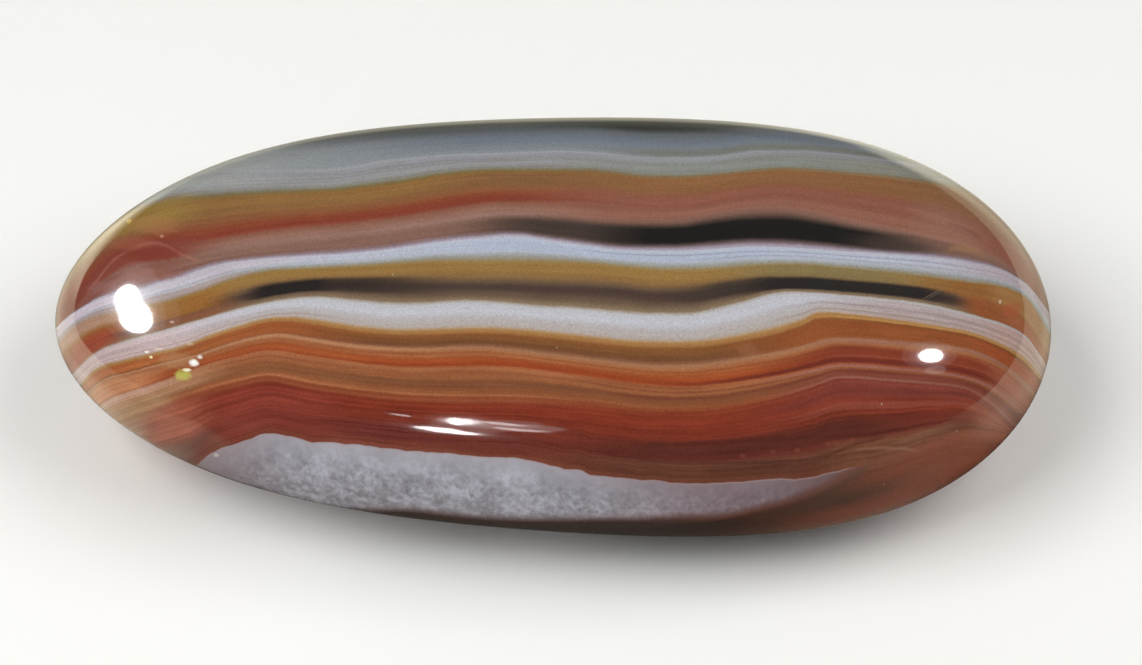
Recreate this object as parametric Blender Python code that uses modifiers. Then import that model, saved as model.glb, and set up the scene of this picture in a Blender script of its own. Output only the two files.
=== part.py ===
"""Agate palm stone: a long, smooth, polished pebble in one piece, at its real size.

Metres, +Z up. +X runs along the stone towards its fuller end. The stone lies on z = 0, on a small
flat that is ground on its underside, and the origin is below the middle of its bounding box.
"""

import math

import bmesh
import bpy
from mathutils import Vector

NAME = "agate_stone"

# Driving dimensions: the whole stone, the thickness before the flat is ground
LENGTH = 0.076
WIDTH = 0.0348
THICKNESS = 0.0229
FLAT_DEPTH = 0.0004

# How the half width and the half thickness run along the stone, for p from -1 to 1 end to end:
# sqrt(1 - |p| ** END_POWER) * (1 + TAPER * p - WAIST * p ** 2)
END_POWER = 3.9
TAPER = 0.10
WAIST = 0.19

# A section across the stone is a superellipse: 2 would be a plain ellipse, more is squarer
SECTION_POWER = 2.34

# The centre line leans sideways over the length and turns back a little at both ends
CENTRE_LEAN = -0.0012
CENTRE_RETURN = 0.0009

# The cage has this many faces along each edge of the cube that it starts from
CAGE_FACES = 12
SMOOTH_LEVELS = 1
POLE_RADIUS = 1e-6

# Finish: brown chalcedony, polished
COLOUR = (0.27, 0.095, 0.042, 1.0)
ROUGHNESS = 0.06
METALLIC = 0.0


def clear_scene():
    """Remove every object that the open file holds."""
    for item in list(bpy.data.objects):
        bpy.data.objects.remove(item, do_unlink=True)


def new_collection(title):
    """Make a collection and link it to the scene."""
    collection = bpy.data.collections.new(title)
    bpy.context.scene.collection.children.link(collection)
    return collection


def section_scale(p):
    """Half size of the section at p, as a share of the driving half size."""
    return math.sqrt(max(1.0 - abs(p) ** END_POWER, 0.0)) * (1.0 + TAPER * p - WAIST * p * p)


def centre_line(p):
    """Sideways place of the section's middle at p."""
    return CENTRE_LEAN * p + CENTRE_RETURN * p**3


def even_on_sphere(point):
    """Move a point of the cube's surface, which reaches 1 each way, to the unit sphere."""
    spread = Vector([math.tan(value * math.pi / 4.0) for value in point])
    return spread.normalized()


def stone_point(direction):
    """Move a point of the unit sphere to the stone's surface."""
    p, across, up = direction
    ring = math.hypot(across, up)
    middle = Vector((p * LENGTH / 2.0, centre_line(p), 0.0))
    if ring < POLE_RADIUS:
        return middle
    across, up = across / ring, up / ring
    reach = (abs(across) ** SECTION_POWER + abs(up) ** SECTION_POWER) ** (-1.0 / SECTION_POWER)
    reach *= section_scale(p)
    return middle + Vector((0.0, across * reach * WIDTH / 2.0, up * reach * THICKNESS / 2.0))


def polished_agate():
    """One material for the whole stone."""
    material = bpy.data.materials.new("polished_agate")
    material.use_nodes = True
    shader = material.node_tree.nodes["Principled BSDF"]
    shader.inputs["Base Color"].default_value = COLOUR
    shader.inputs["Roughness"].default_value = ROUGHNESS
    shader.inputs["Metallic"].default_value = METALLIC
    material.diffuse_color = COLOUR
    return material


def make_stone(collection):
    """Shape the stone from a subdivided cube and smooth it."""
    cage = bmesh.new()
    bmesh.ops.create_cube(cage, size=2.0)
    bmesh.ops.subdivide_edges(cage, edges=cage.edges[:], cuts=CAGE_FACES - 1, use_grid_fill=True)
    for vertex in cage.verts:
        vertex.co = stone_point(even_on_sphere(vertex.co))
    bmesh.ops.recalc_face_normals(cage, faces=cage.faces[:])
    mesh = bpy.data.meshes.new(NAME)
    cage.to_mesh(mesh)
    cage.free()
    mesh.shade_smooth()
    mesh.materials.append(polished_agate())

    stone = bpy.data.objects.new(NAME, mesh)
    collection.objects.link(stone)
    smooth = stone.modifiers.new("polished surface", "SUBSURF")
    smooth.levels = SMOOTH_LEVELS
    smooth.render_levels = SMOOTH_LEVELS
    return stone


def finished_box(stone):
    """Lowest and highest corner of the stone in its own axes, with its modifiers."""
    bpy.context.view_layer.update()
    seen = stone.evaluated_get(bpy.context.evaluated_depsgraph_get())
    mesh = seen.to_mesh()
    low = Vector([min(vertex.co[axis] for vertex in mesh.vertices) for axis in range(3)])
    high = Vector([max(vertex.co[axis] for vertex in mesh.vertices) for axis in range(3)])
    seen.to_mesh_clear()
    return low, high


def bring_to_size(stone):
    """Scale the cage so that the smoothed stone has the driving dimensions."""
    low, high = finished_box(stone)
    target = Vector((LENGTH, WIDTH, THICKNESS))
    factors = [wanted / (top - bottom) for wanted, top, bottom in zip(target, high, low)]
    for vertex in stone.data.vertices:
        vertex.co = Vector([value * factor for value, factor in zip(vertex.co, factors)])
    stone.data.update()


def grind_flat(stone, cutters):
    """Cut the small flat that the stone rests on."""
    low = finished_box(stone)[0]
    margin = WIDTH / 4.0
    size = Vector((LENGTH + margin, WIDTH + margin, FLAT_DEPTH + margin))
    shape = bmesh.new()
    bmesh.ops.create_cube(shape, size=1.0)
    bmesh.ops.scale(shape, vec=size, verts=shape.verts)
    mesh = bpy.data.meshes.new("flat_cutter")
    shape.to_mesh(mesh)
    shape.free()

    cutter = bpy.data.objects.new("flat_cutter", mesh)
    cutters.objects.link(cutter)
    cutter.location = (0.0, 0.0, low.z + FLAT_DEPTH - size.z / 2.0)
    cutter.parent = stone
    cutter.hide_render = True
    cutter.display_type = "WIRE"
    cut = stone.modifiers.new("resting flat", "BOOLEAN")
    cut.operation = "DIFFERENCE"
    cut.object = cutter


def stand_on_ground(stone):
    """Put the middle of the stone's box over the origin and its flat on z = 0."""
    low, high = finished_box(stone)
    stone.location = (-(low.x + high.x) / 2.0, -(low.y + high.y) / 2.0, -low.z)


def main():
    """Build the stone."""
    clear_scene()
    parts = new_collection("agate_palm_stone")
    cutters = new_collection("cutters")
    stone = make_stone(parts)
    bring_to_size(stone)
    grind_flat(stone, cutters)
    stand_on_ground(stone)


main()
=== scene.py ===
"""Looks of the agate palm stone: its form, its bands, its polish, and the studio that it lies in."""

import logging
import math
from dataclasses import dataclass, field, replace
from enum import Enum
from typing import Any

import bpy
from mathutils import Matrix, Vector


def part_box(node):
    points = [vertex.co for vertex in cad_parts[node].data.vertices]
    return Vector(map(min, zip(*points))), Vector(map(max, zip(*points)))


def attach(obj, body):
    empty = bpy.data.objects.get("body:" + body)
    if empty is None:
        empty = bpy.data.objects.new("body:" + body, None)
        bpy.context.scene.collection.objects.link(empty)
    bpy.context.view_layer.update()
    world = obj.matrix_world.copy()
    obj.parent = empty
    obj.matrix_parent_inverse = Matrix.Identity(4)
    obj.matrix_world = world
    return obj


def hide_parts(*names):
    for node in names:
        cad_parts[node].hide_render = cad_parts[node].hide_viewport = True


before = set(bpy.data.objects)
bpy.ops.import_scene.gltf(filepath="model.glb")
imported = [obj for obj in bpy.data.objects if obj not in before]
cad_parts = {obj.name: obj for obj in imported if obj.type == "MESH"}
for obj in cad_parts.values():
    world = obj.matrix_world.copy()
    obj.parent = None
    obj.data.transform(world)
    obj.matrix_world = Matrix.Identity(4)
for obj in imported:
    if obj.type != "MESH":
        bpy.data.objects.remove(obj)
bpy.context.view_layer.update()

log = logging.getLogger("agate_palm_stone")

Rgb = tuple[int, int, int]
Pixel = tuple[float, float]

MM = 0.001


class Step(Enum):
    """Operations of a Math node."""

    ADD = "ADD"
    SUBTRACT = "SUBTRACT"
    MULTIPLY = "MULTIPLY"
    DIVIDE = "DIVIDE"
    MAXIMUM = "MAXIMUM"
    ABSOLUTE = "ABSOLUTE"


class Blend(Enum):
    """Ways of laying one colour over another."""

    OVER = "MIX"
    SHADE = "MULTIPLY"


@dataclass(frozen=True)
class Photograph:
    """The photograph's frame and how the stone lies in it.

    Pixels count from the top left corner. The stone's middle is the middle of its bounding box.
    """

    wide: float = 1142.0
    high: float = 665.0
    stone_middle: Pixel = (552.6, 323.3)
    pixels_per_mm: float = 13.09
    camera_elevation: float = math.radians(52.0)
    camera_distance: float = 0.260

    def along_mm(self, across: float) -> float:
        """Place along the stone, in mm from its middle, of a pixel column."""
        return (across - self.stone_middle[0]) / self.pixels_per_mm

    def height_mm(self, down: float) -> float:
        """Height across the bands, in mm from the stone's middle, of a pixel row."""
        return (self.stone_middle[1] - down) / self.pixels_per_mm

    @property
    def view_axis_mm(self) -> tuple[float, float]:
        """Where the view's axis passes the stone's middle, in mm along the bands and across them."""
        return self.along_mm(self.wide / 2.0), self.height_mm(self.high / 2.0)


PHOTO = Photograph()


def linear(colour: Rgb) -> tuple[float, float, float, float]:
    """Turn a display colour into the linear colour that a shader takes.

    Args:
        colour: Red, green and blue from 0 to 255.

    Returns:
        Linear red, green, blue and an alpha of 1.
    """
    knee, slope, offset, power = 0.04045, 12.92, 0.055, 2.4
    out = []
    for part in colour:
        share = part / 255.0
        low = share / slope
        high = ((share + offset) / (1.0 + offset)) ** power
        out.append(low if share <= knee else high)
    return (out[0], out[1], out[2], 1.0)


class Bench:
    """The node tree of a material or of the world, with short ways to add nodes."""

    def __init__(self, tree: bpy.types.NodeTree) -> None:
        """Start from an empty tree."""
        self.tree = tree
        tree.nodes.clear()

    def node(
        self,
        kind: str,
        settings: dict[str, Any] | None = None,
        sockets: dict[str | int, Any] | None = None,
    ) -> bpy.types.Node:
        """Add a node.

        Args:
            kind: The node's type, such as ShaderNodeMath.
            settings: Its properties. A ramp's stops are under "stops", as pairs of place and
                colour, and a curve's points under "points", as triples of place, value and handle.
            sockets: Values or links by the name or number of an input.

        Returns:
            The new node.
        """
        made = self.tree.nodes.new(kind)
        for name, value in (settings or {}).items():
            if name == "stops":
                self._set_stops(made.color_ramp, value)
            elif name == "points":
                self._set_points(made.mapping, value)
            else:
                setattr(made, name, value)
        for name, value in (sockets or {}).items():
            self._set_socket(made.inputs[name], value)
        return made

    def signal(
        self,
        kind: str,
        settings: dict[str, Any] | None = None,
        sockets: dict[str | int, Any] | None = None,
        output: str | int = 0,
    ) -> "Signal":
        """Add a node and use one of its outputs in expressions.

        Args:
            kind: The node's type.
            settings: Its properties, as for node.
            sockets: Its inputs, as for node.
            output: The name or number of the output.

        Returns:
            The output.
        """
        return Signal(self, self.node(kind, settings, sockets).outputs[output])

    def _set_socket(self, socket: bpy.types.NodeSocket, value: Any) -> None:
        """Link a signal or another socket to an input, or set its value.

        Args:
            socket: The input.
            value: The signal, socket or value.
        """
        if isinstance(value, Signal):
            self.tree.links.new(value.socket, socket)
        elif isinstance(value, bpy.types.NodeSocket):
            self.tree.links.new(value, socket)
        else:
            socket.default_value = value

    @staticmethod
    def _set_stops(ramp: bpy.types.ColorRamp, stops: list[tuple[float, Any]]) -> None:
        """Give a colour ramp its stops.

        Args:
            ramp: The ramp.
            stops: Places and colours, in order of place.
        """
        while len(ramp.elements) < len(stops):
            ramp.elements.new(1.0)
        for element, (place, colour) in zip(ramp.elements, stops):
            element.position = place
            element.color = colour

    @staticmethod
    def _set_points(mapping: bpy.types.CurveMapping, points: list[tuple[float, float, str]]) -> None:
        """Give a float curve its points.

        Args:
            mapping: The curve's mapping.
            points: Places, values and handles, in order of place.
        """
        curve = mapping.curves[0]
        while len(curve.points) < len(points):
            curve.points.new(1.0, 1.0)
        for point, (place, value, handle) in zip(curve.points, points):
            point.location = (place, value)
            point.handle_type = handle
        mapping.update()

    def parts(self, place: Any) -> list["Signal"]:
        """Split a place into its three parts."""
        split = self.node("ShaderNodeSeparateXYZ", {}, {0: place})
        return [Signal(self, output) for output in split.outputs]

    def rise(self, value: "Signal", edge: float, fade: float) -> "Signal":
        """Go smoothly from 0 to 1 as a signal passes an edge.

        Args:
            value: The signal that is followed.
            edge: Where the result is one half.
            fade: Distance from the edge to where the result is 0 or 1.

        Returns:
            The smooth step.
        """
        settings = {"interpolation_type": "SMOOTHSTEP", "clamp": False}
        sockets = {"Value": value, "From Min": edge - fade, "From Max": edge + fade}
        return self.signal("ShaderNodeMapRange", settings, sockets, "Result")

    def fall(self, value: "Signal", edge: float, fade: float) -> "Signal":
        """Go smoothly from 1 to 0 as a signal passes an edge."""
        return 1.0 - self.rise(value, edge, fade)

    def between(self, value: "Signal", low: float, high: float, fade: float) -> "Signal":
        """Be 1 between two edges and 0 outside them, with soft edges."""
        return self.rise(value, low, fade) * self.fall(value, high, fade)

    def mix(
        self, factor: Any, base: Any, top: Any, blend: Blend = Blend.OVER, label: str = ""
    ) -> "Signal":
        """Lay one colour over another.

        Args:
            factor: How much of the top colour shows, as a number or a signal.
            base: The colour below, as a value or a signal.
            top: The colour above, as a value or a signal.
            blend: How the two are joined.
            label: The node's label.

        Returns:
            The mixed colour.
        """
        factor_input, base_input, top_input, colour_output = 0, 6, 7, 2
        settings = {"data_type": "RGBA", "blend_type": blend.value, "label": label}
        sockets = {factor_input: factor, base_input: base, top_input: top}
        return self.signal("ShaderNodeMix", settings, sockets, colour_output)

    def noise(self, place: Any, scale: float, detail: float = 2.0, rough: float = 0.5) -> "Signal":
        """Make fractal noise from 0 to 1.

        Args:
            place: Where it is read.
            scale: How many features it has in a unit of length.
            detail: How many finer noises it holds.
            rough: How strong the finer ones are.

        Returns:
            The noise.
        """
        sockets = {"Vector": place, "Scale": scale, "Detail": detail, "Roughness": rough}
        return self.signal("ShaderNodeTexNoise", {}, sockets)

    def stretched_noise(self, x: Any, y: Any, z: Any, detail: float) -> "Signal":
        """Make fractal noise at a place that is given by its three parts."""
        return self.noise(self.signal("ShaderNodeCombineXYZ", {}, {0: x, 1: y, 2: z}), 1.0, detail)


class Signal:
    """A value that a shader works out at each point. Numbers are used in plain expressions."""

    def __init__(self, bench: Bench, socket: bpy.types.NodeSocket) -> None:
        """Wrap a socket."""
        self.bench = bench
        self.socket = socket

    def _math(self, step: Step, *inputs: Any) -> "Signal":
        """Add one Math node."""
        return self.bench.signal("ShaderNodeMath", {"operation": step.value}, dict(enumerate(inputs)))

    def __add__(self, other: Any) -> "Signal":
        """Sum."""
        return self._math(Step.ADD, self, other)

    def __radd__(self, other: Any) -> "Signal":
        """Sum, turned round."""
        return self._math(Step.ADD, other, self)

    def __sub__(self, other: Any) -> "Signal":
        """Difference."""
        return self._math(Step.SUBTRACT, self, other)

    def __rsub__(self, other: Any) -> "Signal":
        """Difference, turned round."""
        return self._math(Step.SUBTRACT, other, self)

    def __mul__(self, other: Any) -> "Signal":
        """Product."""
        return self._math(Step.MULTIPLY, self, other)

    def __truediv__(self, other: Any) -> "Signal":
        """Quotient."""
        return self._math(Step.DIVIDE, self, other)

    def __rtruediv__(self, other: Any) -> "Signal":
        """Quotient, turned round."""
        return self._math(Step.DIVIDE, other, self)

    def __abs__(self) -> "Signal":
        """Size without its sign."""
        return self._math(Step.ABSOLUTE, self)

    def at_least(self, other: Any) -> "Signal":
        """The larger of two."""
        return self._math(Step.MAXIMUM, self, other)

    def clamped(self) -> "Signal":
        """Kept between 0 and 1."""
        return self.bench.signal("ShaderNodeClamp", {}, {"Value": self})

    def sharpened(self, contrast: float) -> "Signal":
        """Spread from one half by a contrast, and kept between 0 and 1."""
        return ((self - 0.5) * contrast + 0.5).clamped()


@dataclass(frozen=True)
class BandLine:
    """A line between two layers, read from the photograph, from left to right."""

    name: str
    pixels: tuple[Pixel, ...]


# From the far edge to the near one. A layer number, such as 2.5, is halfway from line 2 to line 3.
BAND_LINES = (
    BandLine("slate", (
        (40, 186), (90, 176), (130, 168), (170, 158), (203, 149), (289, 139), (351, 133), (402, 130),
        (443, 127), (504, 124), (586, 123), (640, 127), (696, 128), (734, 126), (763, 123), (810, 126),
        (868, 136), (920, 143), (980, 150), (1065, 158))),
    BandLine("pale thread", (
        (40, 214), (90, 203), (130, 192), (165, 182), (203, 175), (245, 172), (289, 171), (330, 170),
        (351, 168), (382, 162), (412, 159), (443, 156), (504, 154), (560, 152), (600, 154), (640, 158),
        (680, 159), (720, 157), (740, 154), (760, 152), (800, 152), (830, 154), (868, 158), (930, 168),
        (990, 180), (1065, 196))),
    BandLine("ochre top", (
        (40, 244), (78, 230), (105, 221), (132, 214), (155, 208), (174, 201), (203, 197), (260, 193),
        (300, 191), (341, 189), (371, 185), (402, 181), (443, 174), (504, 170), (586, 170), (638, 175),
        (676, 176), (715, 174), (753, 170), (782, 168), (849, 172), (886, 175), (936, 182), (961, 188),
        (1000, 198), (1065, 214))),
    BandLine("red core", (
        (40, 338), (78, 295), (107, 262), (135, 247), (160, 242), (200, 238), (240, 231), (300, 223),
        (341, 220), (382, 215), (422, 209), (463, 202), (504, 198), (565, 198), (620, 202), (657, 206),
        (696, 204), (734, 198), (772, 194), (810, 197), (850, 203), (890, 209), (940, 222), (985, 243),
        (1020, 270), (1065, 330))),
    BandLine("blush", (
        (40, 345), (78, 305), (107, 276), (135, 263), (174, 256), (200, 252), (250, 245), (300, 239),
        (361, 233), (422, 225), (463, 219), (504, 214), (565, 215), (600, 218), (640, 219), (680, 218),
        (715, 212), (745, 208), (780, 207), (820, 213), (850, 220), (890, 228), (930, 236), (985, 252),
        (1020, 277), (1065, 335))),
    BandLine("milk top", (
        (40, 340), (56, 327), (69, 316), (88, 304), (100, 298), (113, 293), (130, 291), (145, 288),
        (160, 282), (180, 277), (200, 270), (222, 264), (250, 260), (300, 256), (361, 252), (402, 247),
        (443, 241), (484, 237), (514, 235), (545, 239), (586, 245), (620, 249), (676, 250), (715, 248),
        (753, 246), (791, 247), (849, 251), (900, 254), (936, 257), (969, 262), (1002, 270), (1019, 279),
        (1036, 292), (1050, 312), (1065, 340))),
    BandLine("milk bottom", (
        (40, 362), (56, 347), (72, 330), (88, 320), (113, 313), (139, 306), (174, 298), (203, 289),
        (231, 279), (270, 271), (300, 269), (361, 266), (402, 263), (443, 261), (504, 261), (565, 262),
        (600, 264), (638, 268), (676, 270), (715, 269), (753, 266), (791, 265), (849, 269), (900, 274),
        (940, 279), (969, 283), (994, 286), (1019, 294), (1032, 305), (1042, 323), (1065, 362))),
    BandLine("smoke core", (
        (40, 390), (72, 354), (100, 335), (140, 325), (190, 311), (220, 302), (250, 296), (280, 290),
        (300, 287), (340, 285), (382, 286), (463, 287), (504, 287), (545, 289), (586, 290), (620, 292),
        (657, 296), (686, 296), (715, 292), (743, 287), (772, 284), (800, 284), (849, 287), (900, 291),
        (936, 296), (960, 301), (990, 311), (1019, 327), (1034, 346), (1065, 395))),
    BandLine("porcelain top", (
        (40, 410), (60, 388), (78, 369), (97, 352), (126, 341), (155, 333), (193, 322), (231, 311),
        (260, 304), (289, 299), (317, 297), (341, 299), (371, 302), (402, 304), (433, 303), (463, 301),
        (494, 302), (535, 306), (575, 308), (620, 312), (657, 314), (686, 314), (715, 309), (743, 302),
        (772, 294), (791, 292), (820, 293), (853, 296), (886, 299), (919, 303), (953, 310), (986, 319),
        (1011, 327), (1027, 337), (1037, 350), (1065, 400))),
    BandLine("porcelain bottom", (
        (40, 440), (60, 412), (80, 386), (95, 370), (126, 360), (155, 353), (184, 346), (212, 335),
        (241, 326), (268, 319), (289, 318), (317, 321), (341, 325), (371, 329), (402, 331), (443, 330),
        (484, 329), (524, 331), (575, 336), (620, 341), (667, 343), (705, 342), (743, 336), (772, 330),
        (801, 321), (820, 313), (853, 315), (903, 321), (936, 326), (969, 332), (994, 341), (1019, 354),
        (1034, 368), (1065, 415))),
    BandLine("upper tan thread", (
        (40, 455), (70, 415), (103, 381), (126, 374), (155, 366), (199, 355), (225, 346), (250, 339),
        (279, 335), (308, 339), (341, 344), (382, 348), (422, 349), (473, 347), (504, 349), (545, 354),
        (586, 359), (629, 364), (657, 366), (686, 366), (715, 363), (753, 357), (782, 352), (810, 345),
        (835, 339), (868, 340), (919, 344), (953, 347), (982, 354), (1011, 370), (1026, 384), (1065, 430))),
    BandLine("lower tan thread", (
        (40, 480), (75, 435), (107, 402), (130, 393), (155, 385), (208, 365), (241, 357), (268, 352),
        (300, 356), (341, 362), (382, 367), (422, 369), (484, 368), (524, 370), (555, 374), (586, 378),
        (629, 385), (657, 388), (686, 389), (715, 387), (753, 382), (782, 377), (810, 371), (843, 365),
        (868, 366), (900, 369), (936, 372), (969, 378), (992, 387), (1014, 403), (1065, 455))),
    BandLine("brick top", (
        (40, 500), (75, 460), (110, 428), (155, 410), (199, 396), (231, 387), (268, 380), (308, 387),
        (341, 392), (382, 397), (443, 401), (524, 402), (586, 406), (657, 413), (715, 411), (772, 400),
        (810, 389), (843, 379), (900, 383), (936, 386), (969, 392), (990, 406), (1010, 425), (1065, 480))),
    BandLine("quartz top", (
        (40, 520), (100, 490), (150, 480), (190, 470), (203, 459), (214, 450), (237, 443), (250, 437),
        (264, 433), (283, 434), (300, 438), (312, 441), (340, 442), (382, 447), (422, 451), (453, 453),
        (480, 456), (515, 457), (540, 462), (558, 466), (566, 469), (580, 469), (590, 473), (620, 477),
        (660, 480), (690, 483), (740, 481), (780, 478), (810, 477), (832, 471), (858, 466), (885, 460),
        (910, 452), (940, 442), (970, 435), (1000, 435), (1030, 455), (1065, 500))),
    BandLine("quartz bottom", (
        (40, 521), (100, 491), (150, 481), (190, 476), (203, 500), (230, 530), (300, 530), (350, 514),
        (400, 513), (450, 518), (500, 522), (560, 523), (600, 522), (638, 522), (676, 520), (715, 519),
        (740, 515), (760, 510), (780, 505), (800, 498), (820, 490), (840, 480), (850, 474), (862, 467),
        (885, 461), (910, 453), (940, 443), (970, 436), (1000, 436), (1030, 456), (1065, 501))),
    BandLine("umber core", (
        (40, 620), (200, 560), (300, 545), (360, 530), (400, 528), (450, 534), (500, 537), (560, 538),
        (620, 535), (676, 528), (734, 520), (791, 512), (830, 504), (868, 495), (900, 484), (940, 470),
        (980, 462), (1065, 540))),
)

QUARTZ_LAYER = 13
WHOLE_STONE = (-1000.0, 2000.0)


@dataclass(frozen=True)
class Seam:
    """The colour that the layers have at one layer number."""

    layer: float
    colour: Rgb


@dataclass(frozen=True)
class Stain:
    """A patch where the layers take another colour.

    Layers are layer numbers, and the reach is in pixel columns of the photograph.
    """

    name: str
    colour: Rgb
    layers: tuple[float, float]
    reach: tuple[float, float]
    strength: float
    layer_fade: float
    reach_fade: float


@dataclass(frozen=True)
class Striping:
    """A stretch of layers with fine light and dark laminae."""

    layers: tuple[float, float]
    strength: float
    reach: tuple[float, float] = WHOLE_STONE
    layer_fade: float = 0.15
    reach_fade: float = 60.0


@dataclass(frozen=True)
class Lamination:
    """One fineness of the laminae: its features in a mm along the bands and in a mm of layers."""

    along: float
    across: float
    detail: float
    weight: float


@dataclass(frozen=True)
class Wash:
    """A colour over part of the quartz, as far as an edge that is a pixel column or a depth in mm."""

    colour: Rgb
    strength: float
    edge: float
    fade: float


@dataclass(frozen=True)
class Needles:
    """One family of needles in the quartz, by its turn to the bands and the start of its noise."""

    turn: float
    start: float


@dataclass(frozen=True)
class Streak:
    """A thin line that crosses the layers or lies in them, by pixels of the photograph; one is a painted
    reflection.
    """

    name: str
    colour: Rgb
    pixels: tuple[Pixel, ...]
    half_width: float
    strength: float
    broken: float


@dataclass(frozen=True)
class Mark:
    """A small spot, by pixels of the photograph: a spot of colour, a painted highlight or part of a painted
    reflection.
    """

    name: str
    colour: Rgb
    middle: Pixel
    half_size: tuple[float, float]
    strength: float = 1.0


@dataclass(frozen=True)
class AgateFinish:
    """Banded chalcedony with a lens of granular quartz, under a high polish."""

    name: str = "polished_agate"
    viewport_colour: Rgb = (140, 84, 60)
    index_of_refraction: float = 1.54
    polish_roughness: float = 0.045
    quartz_roughness: float = 0.09
    half_domain_mm: float = 40.0
    thinnest_layer_mm: float = 0.02
    umber_rim_mm: float = 2.2

    # How the bands are seen: the fan opens them with height, as the view's perspective does
    fan_mm: float = 260.0
    rim_slope: float = 0.35
    back_edge_mm: float = -2.5
    back_sway_mm: float = 5.0
    back_drift_mm: float = 9.0
    ragged_mm: float = 0.10
    scallop_mm: float = 0.16
    scallops_per_mm: float = 0.7

    # Noises: features in a mm, how many finer ones, and for some how strong those are
    sway_noise: tuple[float, ...] = (0.11, 2.0)
    drift_noise: tuple[float, ...] = (0.07, 1.0)
    ragged_noise: tuple[float, ...] = (1.1, 3.0)
    grain_noise: tuple[float, ...] = (6.5, 2.0, 0.7)
    cloud_noise: tuple[float, ...] = (0.5, 2.0, 0.6)
    granule_noise: tuple[float, ...] = (1.9, 3.0, 0.6)
    break_noise: tuple[float, ...] = (1.3, 2.0)
    uneven_noise: tuple[float, ...] = (2.6, 3.0)
    waver_noise: tuple[float, ...] = (0.35, 1.0)
    relief_noise: tuple[float, ...] = (2.5, 2.0)

    # Display colours by layer number, from the far edge to the near one. Each ramp takes those
    # from one ramp edge to the next.
    ramp_edges: tuple[float, ...] = (0.0, 5.0, 9.0, 13.0, 16.0)
    ramp_fade: float = 0.01
    seams: tuple[Seam, ...] = (
        Seam(0.00, (80, 82, 78)), Seam(0.22, (103, 106, 109)), Seam(0.50, (117, 124, 134)),
        Seam(0.80, (131, 137, 142)), Seam(0.92, (138, 142, 146)), Seam(1.00, (166, 166, 171)),
        Seam(1.08, (147, 146, 150)), Seam(1.40, (150, 147, 148)), Seam(1.70, (148, 145, 143)),
        Seam(1.90, (132, 126, 108)), Seam(2.00, (126, 108, 68)), Seam(2.10, (146, 106, 58)),
        Seam(2.45, (140, 100, 58)), Seam(2.68, (137, 84, 52)), Seam(2.85, (136, 67, 44)),
        Seam(3.00, (134, 60, 42)), Seam(3.15, (136, 68, 50)), Seam(3.40, (142, 96, 78)),
        Seam(3.80, (146, 107, 92)), Seam(4.00, (148, 113, 100)), Seam(4.20, (140, 104, 88)),
        Seam(4.70, (132, 96, 84)), Seam(4.88, (142, 120, 124)), Seam(5.00, (168, 158, 172)),
        Seam(5.08, (188, 188, 198)), Seam(5.24, (182, 184, 197)), Seam(5.42, (186, 188, 200)),
        Seam(5.60, (174, 176, 184)), Seam(5.72, (161, 161, 162)), Seam(5.86, (151, 146, 132)),
        Seam(5.97, (150, 129, 90)), Seam(6.08, (149, 115, 62)), Seam(6.35, (149, 113, 62)),
        Seam(6.58, (138, 104, 64)), Seam(6.78, (104, 82, 62)), Seam(6.92, (77, 59, 51)),
        Seam(7.08, (75, 58, 50)), Seam(7.30, (88, 69, 57)), Seam(7.65, (114, 92, 72)),
        Seam(7.88, (132, 112, 87)), Seam(7.98, (164, 151, 138)), Seam(8.08, (187, 185, 189)),
        Seam(8.35, (193, 192, 199)), Seam(8.62, (180, 172, 170)), Seam(8.86, (176, 164, 157)),
        Seam(8.95, (176, 148, 118)), Seam(9.00, (168, 126, 78)), Seam(9.14, (160, 112, 64)),
        Seam(9.28, (136, 84, 45)), Seam(9.50, (124, 79, 43)), Seam(9.76, (114, 70, 44)),
        Seam(9.88, (136, 90, 62)), Seam(10.00, (163, 114, 82)), Seam(10.10, (160, 106, 72)),
        Seam(10.26, (161, 92, 52)), Seam(10.52, (160, 80, 41)), Seam(10.66, (156, 70, 33)),
        Seam(10.82, (148, 64, 31)), Seam(10.90, (154, 82, 48)), Seam(11.00, (165, 102, 65)),
        Seam(11.12, (152, 90, 55)), Seam(11.40, (132, 78, 46)), Seam(11.60, (126, 73, 45)),
        Seam(11.74, (146, 84, 50)), Seam(11.86, (138, 72, 43)), Seam(12.00, (134, 58, 34)),
        Seam(12.12, (130, 50, 30)), Seam(12.40, (124, 49, 31)), Seam(12.58, (114, 48, 35)),
        Seam(12.76, (103, 45, 36)), Seam(12.88, (118, 56, 42)), Seam(13.00, (128, 66, 50)),
        # From layer 14 on: the dark umber streak along the bottom rim, its own colour darkened near the rim
        # as painted shade.
        Seam(14.00, (112, 76, 66)), Seam(14.25, (92, 60, 50)), Seam(14.75, (64, 46, 40)),
        Seam(15.10, (58, 42, 37)), Seam(15.60, (84, 60, 52)), Seam(16.00, (96, 68, 58)))

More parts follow.
